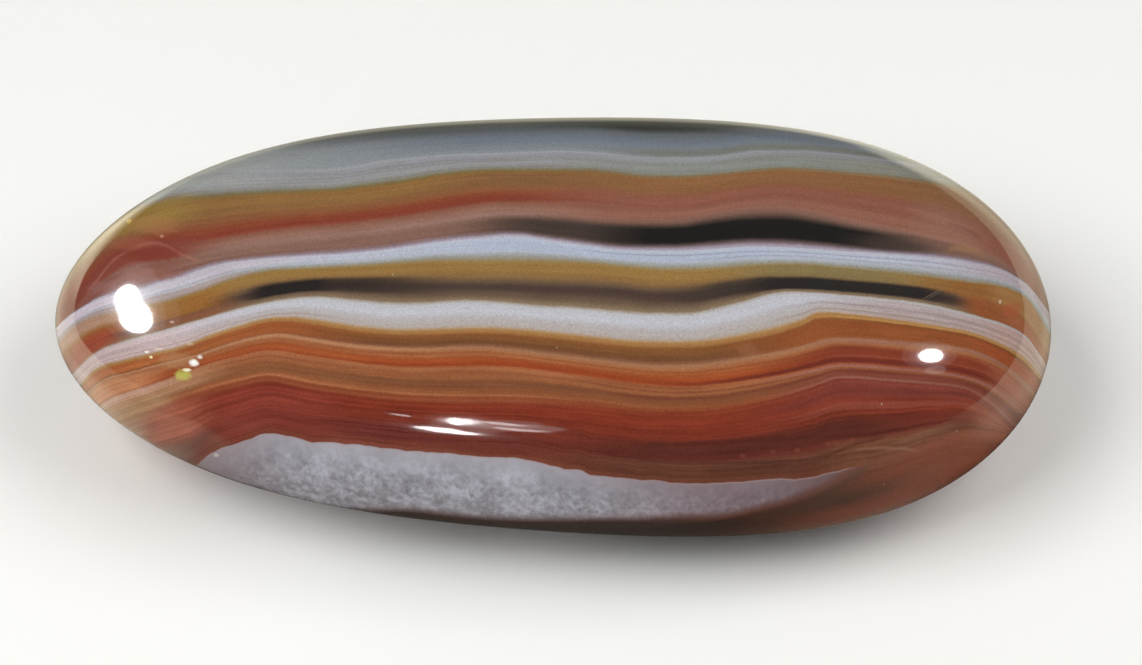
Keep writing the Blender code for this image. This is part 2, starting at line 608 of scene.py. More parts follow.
    stains: tuple[Stain, ...] = (
        Stain("rose flush", (143, 91, 73), (2.62, 4.10), (560, 1200), 0.8, 0.25, 70.0),
        Stain("far tan", (142, 94, 62), (2.05, 2.60), (600, 1200), 0.7, 0.15, 70.0),
        Stain("dusky ochre", (126, 86, 57), (2.10, 2.55), (460, 600), 0.7, 0.15, 60.0),
        Stain("far smoke", (62, 63, 59), (-0.3, 0.14), (560, 700), 0.9, 0.12, 60.0),
        Stain("thread haze", (136, 137, 128), (1.20, 1.95), (600, 1200), 0.8, 0.2, 70.0),
        Stain("right dusty rose", (154, 110, 92), (2.6, 4.6), (920, 976), 0.65, 0.3, 24.0),
        Stain("right haze", (146, 142, 126), (1.20, 1.95), (850, 1200), 0.7, 0.2, 50.0),
        Stain("olive haze", (118, 118, 104), (0.72, 0.92), (620, 1200), 0.8, 0.12, 50.0),
        Stain("broad thread", (148, 149, 148), (0.98, 1.18), (600, 1200), 0.7, 0.08, 50.0),
        Stain("left pearl", (153, 156, 157), (0.25, 0.95), (0, 370), 0.9, 0.2, 110.0),
        Stain("far left pearl", (170, 171, 166), (-0.2, 1.6), (0, 255), 0.9, 0.2, 50.0),
        Stain("left thread", (160, 158, 162), (0.95, 1.12), (150, 420), 0.5, 0.08, 50.0),
        Stain("left garnet", (132, 64, 50), (2.95, 4.10), (0, 200), 0.95, 0.12, 40.0),
        Stain("left mulberry", (134, 78, 66), (4.15, 4.86), (0, 175), 0.85, 0.16, 45.0),
        Stain("left olive", (156, 124, 60), (1.75, 2.5), (0, 186), 0.9, 0.2, 30.0),
        Stain("lens haze", (88, 68, 58), (4.12, 4.84), (475, 950), 0.8, 0.16, 60.0),
        Stain("lens dusk", (64, 53, 47), (4.22, 4.86), (505, 650), 0.9, 0.14, 45.0),
        Stain("black lens", (27, 25, 23), (4.24, 4.86), (610, 895), 1.0, 0.12, 42.0),
        Stain("lens end", (66, 52, 46), (4.45, 4.92), (860, 925), 0.8, 0.14, 30.0),
        Stain("milk blue", (172, 182, 200), (5.10, 5.60), (440, 820), 0.7, 0.1, 90.0),
        Stain("milk seam far", (156, 156, 172), (5.24, 5.31), (600, 1200), 0.9, 0.04, 60.0),
        Stain("milk seam near", (156, 154, 166), (5.47, 5.53), (700, 1200), 0.8, 0.04, 60.0),
        Stain("milk left", (190, 179, 185), (5.04, 5.50), (0, 290), 0.95, 0.10, 60.0),
        Stain("milk seam left", (160, 142, 150), (5.50, 5.56), (0, 240), 0.6, 0.04, 50.0),
        Stain("milk shade left", (168, 148, 144), (5.62, 6.0), (0, 235), 0.9, 0.12, 40.0),
        Stain("milk tip", (210, 194, 204), (5.08, 5.50), (0, 112), 0.8, 0.12, 14.0),
        Stain("milk end", (180, 162, 166), (5.05, 5.60), (960, 1200), 0.8, 0.06, 50.0),
        Stain("moss", (126, 112, 76), (5.98, 6.60), (745, 905), 0.75, 0.1, 50.0),
        Stain("right gold", (144, 92, 46), (5.98, 6.70), (930, 1200), 0.85, 0.1, 40.0),
        Stain("soot trail", (56, 45, 39), (6.58, 7.42), (330, 420), 0.85, 0.16, 50.0),
        Stain("left soot", (33, 29, 27), (6.62, 7.46), (330, 352), 0.9, 0.14, 44.0),
        Stain("left soot start", (38, 33, 31), (6.62, 7.46), (250, 330), 1.0, 0.14, 16.0),
        Stain("right soot trail", (60, 50, 44), (6.60, 7.40), (690, 760), 0.85, 0.16, 40.0),
        Stain("right soot", (42, 37, 34), (6.62, 7.60), (748, 946), 1.0, 0.12, 30.0),
        Stain("left rust", (150, 100, 48), (6.20, 7.20), (0, 222), 0.95, 0.12, 26.0),
        Stain("left umber", (132, 82, 54), (7.20, 7.92), (140, 232), 0.85, 0.12, 26.0),
        Stain("right rust", (148, 84, 46), (6.60, 7.90), (965, 1200), 0.95, 0.12, 14.0),
        Stain("right honey", (164, 118, 70), (5.98, 6.6), (994, 1200), 0.85, 0.12, 14.0),
        Stain("right flame", (160, 96, 64), (6.75, 7.9), (1006, 1200), 0.8, 0.12, 12.0),
        Stain("ember", (158, 74, 52), (6.75, 7.95), (60, 118), 0.9, 0.25, 20.0),
        Stain("left buff", (178, 138, 116), (5.95, 6.52), (0, 114), 0.9, 0.2, 16.0),
        Stain("left shell", (197, 168, 165), (8.05, 8.95), (0, 205), 0.8, 0.1, 60.0),
        Stain("right shell", (176, 153, 148), (8.10, 8.95), (850, 1200), 0.8, 0.1, 60.0),
        Stain("far right shell", (186, 148, 134), (8.10, 8.95), (985, 1200), 0.7, 0.1, 25.0),
        Stain("left seam far", (162, 140, 142), (8.46, 8.53), (0, 300), 0.5, 0.04, 60.0),
        Stain("left seam near", (156, 132, 126), (8.72, 8.79), (0, 330), 0.7, 0.04, 60.0),
        Stain("right seam far", (152, 134, 130), (8.40, 8.50), (800, 1200), 0.65, 0.05, 50.0),
        Stain("right seam near", (150, 130, 120), (8.72, 8.80), (790, 1200), 0.7, 0.04, 50.0),
        Stain("left amber", (154, 84, 43), (9.22, 9.86), (0, 330), 0.9, 0.08, 60.0),
        Stain("right amber", (148, 80, 41), (9.24, 9.94), (760, 1200), 0.9, 0.06, 60.0),
        Stain("far right amber", (156, 74, 40), (9.3, 9.94), (980, 1200), 0.75, 0.08, 18.0),
        Stain("amber seam", (186, 134, 70), (9.08, 9.15), (810, 1200), 0.8, 0.04, 50.0),
        Stain("amber line", (132, 72, 38), (9.17, 9.22), (810, 1200), 0.7, 0.03, 50.0),
        Stain("amber tip", (178, 102, 58), (9.22, 9.80), (0, 165), 0.8, 0.10, 30.0),
        Stain("left peach", (182, 126, 88), (9.92, 10.12), (0, 430), 0.75, 0.05, 60.0),
        Stain("left flame", (160, 82, 42), (10.46, 10.80), (165, 360), 0.8, 0.08, 20.0),
        Stain("left apricot", (200, 134, 92), (10.12, 10.90), (0, 152), 0.85, 0.10, 24.0),
        Stain("flame thread", (168, 108, 70), (10.32, 10.40), (0, 620), 0.65, 0.04, 60.0),
        Stain("right garnet", (126, 51, 34), (10.25, 10.95), (790, 1200), 0.85, 0.12, 60.0),
        Stain("far right garnet", (160, 92, 68), (10.2, 11.0), (994, 1200), 0.8, 0.12, 16.0),
        Stain("garnet thread", (150, 78, 58), (10.60, 10.66), (820, 1200), 0.6, 0.04, 50.0),
        Stain("garnet seam", (104, 42, 33), (10.74, 10.88), (700, 1000), 0.8, 0.06, 70.0),
        Stain("right peach", (160, 106, 86), (9.96, 10.10), (820, 1200), 0.8, 0.05, 60.0),
        Stain("right blush", (154, 98, 86), (10.97, 11.12), (790, 1200), 0.9, 0.05, 60.0),
        Stain("right mulberry", (126, 60, 50), (11.24, 12.2), (800, 1200), 0.75, 0.10, 70.0),
        Stain("wine line", (112, 54, 40), (11.34, 11.46), (600, 1200), 0.75, 0.06, 50.0),
        Stain("first wine line", (116, 60, 42), (11.14, 11.20), (580, 790), 0.6, 0.05, 40.0),
        Stain("second blush", (146, 92, 78), (11.74, 11.92), (800, 1200), 0.75, 0.07, 50.0),
        Stain("second wine line", (108, 48, 38), (12.10, 12.18), (760, 1000), 0.7, 0.05, 50.0),
        Stain("third blush", (140, 76, 62), (12.26, 12.34), (800, 1000), 0.5, 0.05, 50.0),
        Stain("olive lamina", (116, 69, 44), (11.36, 11.52), (330, 600), 0.7, 0.07, 50.0),
        Stain("left olive lamina", (130, 80, 48), (11.52, 11.66), (200, 360), 0.7, 0.07, 50.0),
        Stain("tan lamina", (164, 102, 64), (11.77, 11.84), (200, 560), 0.7, 0.04, 60.0),
        Stain("last tan lamina", (152, 88, 56), (11.95, 12.02), (200, 560), 0.65, 0.04, 60.0),
        Stain("left sand", (180, 132, 98), (10.95, 11.6), (0, 205), 0.8, 0.12, 40.0),
        Stain("left pale pink", (194, 150, 128), (10.93, 11.22), (0, 165), 0.85, 0.06, 25.0),
        Stain("left olive sand", (168, 124, 88), (11.4, 12.12), (0, 172), 0.8, 0.12, 20.0),
        # The loam and fog stains at the left end are the stone's colour, lightened near the lower-left rim
        # as painted reflection of the bright floor.
        Stain("left loam and painted reflection", (184, 156, 128), (12.15, 13.4), (0, 142), 0.85, 0.15, 16.0),
        Stain("left sienna", (172, 92, 70), (11.95, 12.5), (148, 205), 0.8, 0.12, 20.0),
        Stain("left fog and painted reflection", (168, 134, 116), (12.62, 13.4), (0, 184), 0.85, 0.15, 24.0),
        Stain("left brick", (138, 58, 45), (12.05, 12.95), (212, 335), 0.7, 0.12, 30.0),
        Stain("left plum", (110, 48, 40), (12.50, 12.74), (335, 430), 0.6, 0.08, 40.0),
        Stain("right umber", (86, 40, 30), (12.42, 12.66), (600, 900), 0.85, 0.10, 60.0),
        Stain("under brown", (108, 61, 44), (12.72, 13.0), (585, 1200), 0.9, 0.05, 50.0),
        Stain("under tan", (132, 84, 58), (12.72, 13.0), (835, 940), 0.8, 0.08, 30.0),
        Stain("dim tan thread", (136, 76, 46), (10.90, 11.08), (600, 720), 0.85, 0.05, 50.0),
        Stain("tail", (122, 74, 54), (12.90, 14.20), (868, 1200), 1.0, 0.03, 6.0),
        # Painted shade: this stain darkens the layers below the quartz towards the bottom rim, where the
        # underside turns from the light.
        Stain("painted shade under quartz", (64, 54, 53), (13.95, 18.0), (300, 690), 0.9, 0.10, 60.0),
        Stain("umber fan", (86, 56, 44), (14.3, 15.3), (745, 1200), 0.75, 0.2, 40.0),
        Stain("right clay", (146, 78, 57), (12.9, 18.0), (900, 1200), 0.9, 0.15, 60.0),
        Stain("far right clay", (158, 88, 63), (12.2, 18.0), (978, 1200), 0.85, 0.25, 28.0),
        Stain("fan clay", (130, 68, 48), (14.2, 14.7), (860, 1200), 0.8, 0.2, 40.0),
        Stain("rim clay", (134, 68, 50), (15.2, 18.0), (800, 1200), 0.85, 0.25, 70.0),
    )
    stripings: tuple[Striping, ...] = (
        Striping((0.2, 1.0), 0.10), Striping((1.0, 2.0), 0.22), Striping((2.0, 5.0), 0.20),
        Striping((5.1, 6.0), 0.12), Striping((6.0, 7.9), 0.18), Striping((8.1, 8.9), 0.06),
        Striping((9.2, 10.0), 0.28), Striping((10.1, 12.0), 0.40), Striping((12.0, 13.0), 0.62),
        Striping((14.0, 17.0), 0.20), Striping((5.0, 6.0), 0.30, (0, 250)),
        Striping((9.0, 12.4), 0.50, (0, 240)), Striping((9.0, 12.4), 0.38, (830, 1200)),
        Striping((8.0, 9.0), 0.30, (0, 240)), Striping((8.0, 9.0), 0.30, (830, 1200)),
    )
    streaks: tuple[Streak, ...] = (
        # Painted reflection: this pale arc line is a shape mirrored in the polish at the upper left.
        Streak("painted arc reflection line", (176, 112, 98), (
            (80, 303), (95, 283), (115, 259), (130, 250), (145, 244), (155, 243), (170, 248),
            (185, 256), (205, 263)), 1.5, 0.5, 0.3),
        Streak("far dark strand", (80, 36, 26), (
            (640, 446), (740, 441), (800, 438), (860, 436), (900, 429), (935, 423)), 2.2, 0.65, 0.4),
        Streak("near dark strand", (80, 40, 30), (
            (600, 455), (700, 463), (800, 461), (830, 455), (850, 446), (870, 441), (890, 436)),
            1.6, 0.7, 0.3),
        Streak("pale strand", (152, 106, 86), (
            (850, 450), (880, 448), (905, 449), (925, 452)), 1.5, 0.6, 0.3),
        Streak("first scratch", (150, 132, 112), ((916, 303), (952, 283)), 0.5, 0.5, 0.3),
        Streak("second scratch", (150, 132, 112), ((922, 302), (948, 288)), 0.5, 0.4, 0.3),
        Streak("plum strand", (116, 70, 64), ((943, 221), (962, 228), (988, 241)), 2.6, 0.45, 0.3),
        Streak("honey strand", (172, 128, 74), (
            (942, 254), (955, 248), (972, 250), (990, 258)), 2.6, 0.45, 0.3),
    )
    marks: tuple[Mark, ...] = (
        # Painted reflection: the next three arc marks paint a dome-like shape mirrored at the upper left,
        # darker inside its pale arc and lighter outside it.
        Mark("painted arc reflection core", (128, 54, 40), (152, 254), (34, 8), 0.75),
        Mark("painted arc reflection haze", (158, 92, 70), (128, 243), (24, 7), 0.5),
        Mark("painted arc reflection amber", (176, 122, 78), (154, 225), (28, 10), 0.45),
        Mark("arc rose", (152, 102, 88), (152, 275), (30, 7), 0.5),
        Mark("mauve corner", (150, 104, 98), (104, 288), (17, 8), 0.5),
        # Painted highlights, down to the right glint: the crack marks, the glints and the small rose mark
        # are light thrown back by a healed crack and small flaws. The haze over the crack is a painted
        # sheen round them.
        Mark("painted crack sheen", (188, 146, 106), (176, 360), (18, 9), 0.35),
        Mark("painted crack reflection", (190, 186, 92), (183, 375), (8, 6), 0.9),
        Mark("crack glint", (252, 250, 244), (194, 363), (5, 3.5)),
        Mark("small crack glint", (240, 234, 226), (200, 357), (2.5, 2), 0.8),
        Mark("painted crack rim glint", (244, 238, 200), (187, 370), (5, 1.8)),
        Mark("far glint", (246, 232, 226), (147, 352), (2.5, 1.6)),
        Mark("near glint", (244, 236, 190), (151, 357), (1.8, 1.5)),
        Mark("haze glint", (226, 206, 190), (159, 349), (5, 1.6), 0.7),
        Mark("high glint", (216, 190, 170), (190, 344), (4, 1.6), 0.5),
        Mark("side glint", (228, 196, 190), (172, 322), (2.5, 1.6), 0.6),
        Mark("quartz glint", (214, 208, 206), (216, 455), (3, 2), 0.8),
        Mark("honey glint", (222, 186, 90), (129, 221), (3, 2.5), 0.8),
        Mark("painted rose glint", (206, 150, 120), (162, 236), (2, 1.4), 0.6),
        Mark("right glint", (236, 206, 182), (1000, 302), (1.5, 2.2), 0.6),
        Mark("right spot", (176, 84, 58), (1012, 310), (9, 8), 0.5),
        Mark("bruise", (152, 104, 74), (748, 350), (10, 8), 0.35),
    )
    bead: Mark = Mark("bead", (140, 78, 62), (0, 0), (3.4, 2.4), 0.35)
    bead_middles: tuple[Pixel, ...] = (
        (743, 456), (773, 452), (797, 450), (828, 444), (836, 443), (852, 440))

    speck: Rgb = (205, 200, 180)
    speck_strength: float = 0.5
    speck_size: tuple[float, float] = (0.028, 0.012)
    specks_per_mm: float = 0.45

    laminations: tuple[Lamination, ...] = (
        Lamination(0.022, 2.1, 2.0, 0.36), Lamination(0.06, 7.0, 2.0, 0.38),
        Lamination(0.30, 1.7, 3.0, 0.26))
    lamina_depth: float = 0.03
    lamina_contrast: float = 3.0
    lamina_dark: tuple[float, ...] = (0.35, 0.22, 0.20, 1.0)
    lamina_light: tuple[float, ...] = (1.60, 1.85, 2.00, 1.0)
    grain_dark: tuple[float, ...] = (0.88, 0.86, 0.86, 1.0)
    grain_light: tuple[float, ...] = (1.10, 1.14, 1.14, 1.0)

    quartz_end: float = 861.0
    quartz_end_fade: float = 0.5
    # The near edge fades slowly into the dark layers below, as painted shade towards the bottom rim.
    quartz_edges: tuple[tuple[float, float], ...] = ((0.04, 0.05), (0.38, 0.40))
    quartz_depth: tuple[float, float] = (1.6, 1.4)
    quartz_tones: tuple[tuple[float, Rgb], ...] = (
        (0.18, (129, 130, 139)), (0.40, (152, 153, 163)), (0.58, (169, 171, 184)),
        (0.85, (200, 203, 218)))
    needles: tuple[Needles, ...] = (Needles(-0.95, 0.0), Needles(-1.45, 3.0), Needles(0.75, 7.0))
    quartz_fringe: Wash = Wash((172, 163, 171), 0.45, 0.8, 0.8)
    quartz_tip: Wash = Wash((150, 134, 142), 0.7, 262.0, 4.4)
    quartz_tail: Wash = Wash((108, 76, 68), 0.75, 810.0, 4.0)
    quartz_outline: Wash = Wash((176, 154, 154), 0.6, 0.14, 0.07)
    blush_shade: tuple[float, ...] = (0.58, 0.41, 0.41, 1.0)
    blush_strength: float = 0.85
    blush_start: float = 645.0
    blush_fade: float = 8.0

    def material(self) -> bpy.types.Material:
        """Make the material.

        Returns:
            The finished material.
        """
        made = bpy.data.materials.new(self.name)
        made.use_nodes = True
        bench = Bench(made.node_tree)
        paint = AgatePaint(bench, self)
        paint.band()
        paint.stain()
        paint.laminate()
        quartz = paint.fill_quartz()
        paint.streak()
        paint.mark()
        roughness = self.polish_roughness + quartz * (self.quartz_roughness - self.polish_roughness)
        shader = bench.signal(
            "ShaderNodeBsdfPrincipled",
            {},
            {
                "Base Color": paint.colour,
                "Roughness": roughness,
                "IOR": self.index_of_refraction,
                "Normal": paint.surface(quartz),
            },
        )
        bench.node("ShaderNodeOutputMaterial", {}, {"Surface": shader})
        made.diffuse_color = linear(self.viewport_colour)
        return made


class AgatePaint:
    """The agate's colour at a point, laid down step by step in one material.

    Its places are in mm from the stone's middle: along the bands, across them as height, and
    forward, to the side that is seen.
    """

    def __init__(self, bench: Bench, finish: AgateFinish) -> None:
        """Measure the point and number its layer.

        Args:
            bench: The material's bench.
            finish: The finish, with its seams, stains and marks.
        """
        self.bench = bench
        self.finish = finish
        self.colour: Any = None
        self._measure()
        self.lines = self._band_lines()
        self.layer, self.strata = self._layers()

    def _measure(self) -> None:
        """Find where the point lies, and whether it is on the side that is seen."""
        bench, finish = self.bench, self.finish
        where = bench.signal("ShaderNodeTexCoord", output="Object")
        to_mm = 1.0 / MM
        self.place = bench.signal(
            "ShaderNodeMapping",
            {"vector_type": "POINT"},
            {"Vector": where, "Location": (0.0, 0.0, -STONE.middle_height * to_mm), "Scale": (to_mm,) * 3},
        )
        x, y, z = bench.parts(self.place)
        lean = PHOTO.camera_elevation
        across = y * math.sin(lean) + z * math.cos(lean)
        self.forward = z * math.sin(lean) - y * math.cos(lean)
        fan = finish.fan_mm / (finish.fan_mm - self.forward)
        axis_along, axis_height = PHOTO.view_axis_mm
        along = (x - axis_along) * fan + axis_along
        height = (across - axis_height) * fan + axis_height
        edge, fade = finish.back_edge_mm, abs(finish.back_edge_mm)
        self.shown = bench.rise(self.forward + height * finish.rim_slope, edge, fade)
        sway = bench.noise(self.place, *finish.sway_noise) - 0.5
        drift = bench.noise(self.place, *finish.drift_noise) - 0.5
        ragged = bench.noise(self.place, *finish.ragged_noise) - 0.5
        hidden = 1.0 - self.shown
        self.height = height + hidden * sway * finish.back_sway_mm + ragged * finish.ragged_mm
        self.along = along + hidden * drift * finish.back_drift_mm

    def _traced(self, line: BandLine | Streak) -> Signal:
        """Follow a listed line.

        Args:
            line: The line.

        Returns:
            The line's height in mm at this place along the stone.
        """
        span = 2.0 * self.finish.half_domain_mm
        points = [
            (PHOTO.along_mm(column) / span + 0.5, PHOTO.height_mm(row) / span + 0.5, "AUTO_CLAMPED")
            for column, row in line.pixels
        ]
        settings = {"points": points, "label": line.name}
        share = self.along / span + 0.5
        height = self.bench.signal("ShaderNodeFloatCurve", settings, {"Value": share})
        return (height - 0.5) * span

    def _band_lines(self) -> list[Signal]:
        """Trace every line between two layers.

        Returns:
            Their heights in mm, from the far line to the near one.
        """
        finish = self.finish
        lines = [self._traced(line) for line in BAND_LINES]
        scallop = self.bench.signal(
            "ShaderNodeTexVoronoi",
            {"voronoi_dimensions": "1D", "feature": "F1"},
            {"W": self.along, "Scale": finish.scallops_per_mm},
            "Distance",
        )
        lines[QUARTZ_LAYER] = lines[QUARTZ_LAYER] - scallop * scallop * finish.scallop_mm
        return lines

    def _layers(self) -> tuple[Signal, Signal]:
        """Number the layer at the point, and measure how deep it lies in the layers.

        Returns:
            The layer number with its fraction, and the depth in mm below the first line.
        """
        rows = [[PHOTO.height_mm(row) for _, row in line.pixels] for line in BAND_LINES]
        means = [sum(heights) / len(heights) for heights in rows]
        thinnest, rim = self.finish.thinnest_layer_mm, self.finish.umber_rim_mm
        layer = ((self.lines[-1] - self.height) / rim).clamped()
        strata = layer * rim
        for upper, lower, high, low in zip(self.lines, self.lines[1:], means, means[1:]):
            thick = (upper - lower).at_least(thinnest)
            passed = ((upper - self.height) / thick).clamped()
            layer = layer + passed
            strata = strata + passed * max(high - low, thinnest)
        return layer, strata

    def _past(self, column: float, fade: float) -> Signal:
        """Go from 0 to 1 past a pixel column, with a fade in mm."""
        return self.bench.rise(self.along, PHOTO.along_mm(column), fade)

    def _patch(self, patch: Stain | Striping) -> Signal:
        """Mask a patch of layers.

        Args:
            patch: The patch.

        Returns:
            Its strength inside it and 0 outside it, with soft edges.
        """
        first, last = patch.reach
        fade = patch.reach_fade / PHOTO.pixels_per_mm
        mask = self.bench.between(self.layer, *patch.layers, patch.layer_fade)
        if first > 0.0:
            mask = mask * self._past(first, fade)
        if last < PHOTO.wide:
            mask = mask * (1.0 - self._past(last, fade))
        return mask * patch.strength

    def _lay(self, mask: Any, top: Any, blend: Blend = Blend.OVER, label: str = "") -> None:
        """Lay a colour over what is there."""
        self.colour = self.bench.mix(mask, self.colour, top, blend, label)

    def band(self) -> None:
        """Colour the layers by their numbers."""
        finish = self.finish
        for first, last in zip(finish.ramp_edges, finish.ramp_edges[1:]):
            span = last - first
            stops = [
                ((seam.layer - first) / span, linear(seam.colour))
                for seam in finish.seams
                if first <= seam.layer <= last
            ]
            share = (self.layer - first) / span
            ramp = self.bench.signal("ShaderNodeValToRGB", {"stops": stops}, {0: share})
            if self.colour is None:
                self.colour = ramp
            else:
                self._lay(self.bench.rise(self.layer, first, finish.ramp_fade), ramp)

    def stain(self) -> None:
        """Lay the stains over the layers. The stain below the quartz is painted shade, and the loam and fog
        stains at the left end are lightened in part as painted reflection.
        """
        for stain in self.finish.stains:
            self._lay(self._patch(stain), linear(stain.colour), label=stain.name)

    def laminate(self) -> None:
        """Draw the fine laminae in the layers, and a fine grain over them."""
        bench, finish = self.bench, self.finish
        tone = None
        for kind in finish.laminations:
            along, across = self.along * kind.along, self.strata * kind.across
            forward = self.forward * finish.lamina_depth
            part = bench.stretched_noise(along, across, forward, kind.detail) * kind.weight
            tone = part if tone is None else tone + part
        tint = bench.mix(tone.sharpened(finish.lamina_contrast), finish.lamina_dark, finish.lamina_light)
        strength = None
        for striping in finish.stripings:
            mask = self._patch(striping)
            strength = mask if strength is None else strength.at_least(mask)
        self._lay(strength, tint, Blend.SHADE)
        grain = bench.noise(self.place, *finish.grain_noise).sharpened(finish.lamina_contrast)
        self._lay(1.0, bench.mix(grain, finish.grain_dark, finish.grain_light), Blend.SHADE)

    def _quartz_tone(self, depth: Signal) -> Signal:
        """Make the cloudy, needled tone of the quartz.

        Args:
            depth: 0 at the quartz's far edge and 1 well inside it.

        Returns:
            The tone, about 0 to 1.
        """
        bench, finish = self.bench, self.finish
        needles_per_mm, ends_per_mm, layers_per_mm, needle_detail = 2.6, 0.7, 0.8, 1.0
        needles = None
        for family in finish.needles:
            turned_x, turned_y = math.cos(family.turn), math.sin(family.turn)
            lengthwise = (self.along * turned_x + self.height * turned_y) * ends_per_mm
            crosswise = (self.height * turned_x - self.along * turned_y) * needles_per_mm + family.start
            forward = self.forward * layers_per_mm
            needle = bench.stretched_noise(lengthwise, crosswise, forward, needle_detail)
            needles = needle if needles is None else needles.at_least(needle)
        edge_cloud, edge_grain, edge_needles = 0.5, 0.2, 0.2
        more_cloud, more_grain, more_needles = 0.4, 0.55, 0.65
        cloud = (bench.noise(self.place, *finish.cloud_noise) - 0.5) * (edge_cloud + depth * more_cloud)
        grain = (bench.noise(self.place, *finish.granule_noise) - 0.5) * (edge_grain + depth * more_grain)
        mean_tone, mean_needle = 0.63, 0.60
        return mean_tone + cloud + grain + (needles - mean_needle) * (edge_needles + depth * more_needles)

    def fill_quartz(self) -> Signal:
        """Lay the lens of granular quartz over the bands.

        Returns:
            1 in the quartz and 0 outside it.
        """
        bench, finish = self.bench, self.finish
        below = self.lines[QUARTZ_LAYER] - self.height
        above = self.height - self.lines[QUARTZ_LAYER + 1]
        far_edge, near_edge = finish.quartz_edges
        # The soft near edge is painted shade: the quartz fades into the dark below towards the bottom rim.
        mask = bench.rise(below, *far_edge) * bench.rise(above, *near_edge)
        mask = mask * (1.0 - self._past(finish.quartz_end, finish.quartz_end_fade))
        tone = self._quartz_tone(bench.rise(below, *finish.quartz_depth))
        stops = [(place, linear(colour)) for place, colour in finish.quartz_tones]
        body = bench.signal("ShaderNodeValToRGB", {"stops": stops}, {0: tone})
        fringe, outline = finish.quartz_fringe, finish.quartz_outline
        tip, tail = finish.quartz_tip, finish.quartz_tail
        body = self._washed(body, fringe, bench.fall(below, fringe.edge, fringe.fade))
        blush = self._past(finish.blush_start, finish.blush_fade) * finish.blush_strength
        body = bench.mix(blush, body, finish.blush_shade, Blend.SHADE)
        body = self._washed(body, tip, 1.0 - self._past(tip.edge, tip.fade))
        body = self._washed(body, tail, self._past(tail.edge, tail.fade))
        body = self._washed(body, outline, bench.fall(below, outline.edge, outline.fade))
        self._lay(mask, body)
        return mask

    def _washed(self, body: Any, wash: Wash, mask: Signal) -> Signal:
        """Lay a wash over the quartz."""
        return self.bench.mix(mask * wash.strength, body, linear(wash.colour))

    def streak(self) -> None:
        """Draw the streaks, one of them a painted reflection."""
        break_contrast, end_fade = 6.0, 0.5
        breaks = self.bench.noise(self.place, *self.finish.break_noise).sharpened(break_contrast)
        for streak in self.finish.streaks:
            off = abs(self.height - self._traced(streak)) * PHOTO.pixels_per_mm
            mask = self.bench.fall(off, streak.half_width, streak.half_width)
            first, last = (PHOTO.along_mm(streak.pixels[end][0]) for end in (0, -1))
            mask = mask * self.bench.between(self.along, first + end_fade, last - end_fade, end_fade)
            whole = 1.0 - streak.broken
            mask = mask * self.shown * (whole + breaks * streak.broken) * streak.strength
            self._lay(mask, linear(streak.colour), label=streak.name)

    def mark(self) -> None:
        """Set the small marks, among them painted highlights and painted reflections, and scatter a few
        tiny pale specks.
        """
        bench, finish = self.bench, self.finish
        mark_edge, mark_fade, unevenness = 0.8, 0.7, 2.0
        uneven = (bench.noise(self.place, *finish.uneven_noise) - 0.5) * unevenness
        beads = [replace(finish.bead, middle=middle) for middle in finish.bead_middles]
        for mark in (*finish.marks, *beads):
            column, row = mark.middle
            wide, tall = (half / PHOTO.pixels_per_mm for half in mark.half_size)
            across = (self.along - PHOTO.along_mm(column)) / wide
            down = (self.height - PHOTO.height_mm(row)) / tall
            mask = bench.fall(across * across + down * down + uneven, mark_edge, mark_fade)
            self._lay(mask * self.shown * mark.strength, linear(mark.colour), label=mark.name)
        sockets = {"Vector": self.place, "Scale": finish.specks_per_mm}
        cell = bench.signal("ShaderNodeTexVoronoi", {"feature": "F1"}, sockets, "Distance")
        self._lay(bench.fall(cell, *finish.speck_size) * finish.speck_strength, linear(finish.speck))

    def surface(self, quartz: Signal) -> Signal:
        """Let the polish waver a little, and the quartz a little more.

        Args:
            quartz: 1 in the quartz and 0 outside it.

        Returns:
            The normal.
        """
        height_scale, waver_height, grain_height = 0.000004, 3.0, 0.5
        waver = self.bench.noise(self.place, *self.finish.waver_noise) * waver_height
        grain = quartz * self.bench.noise(self.place, *self.finish.relief_noise) * grain_height
        sockets = {"Strength": 1.0, "Distance": height_scale, "Height": waver + grain}
        return self.bench.signal("ShaderNodeBump", {}, sockets)


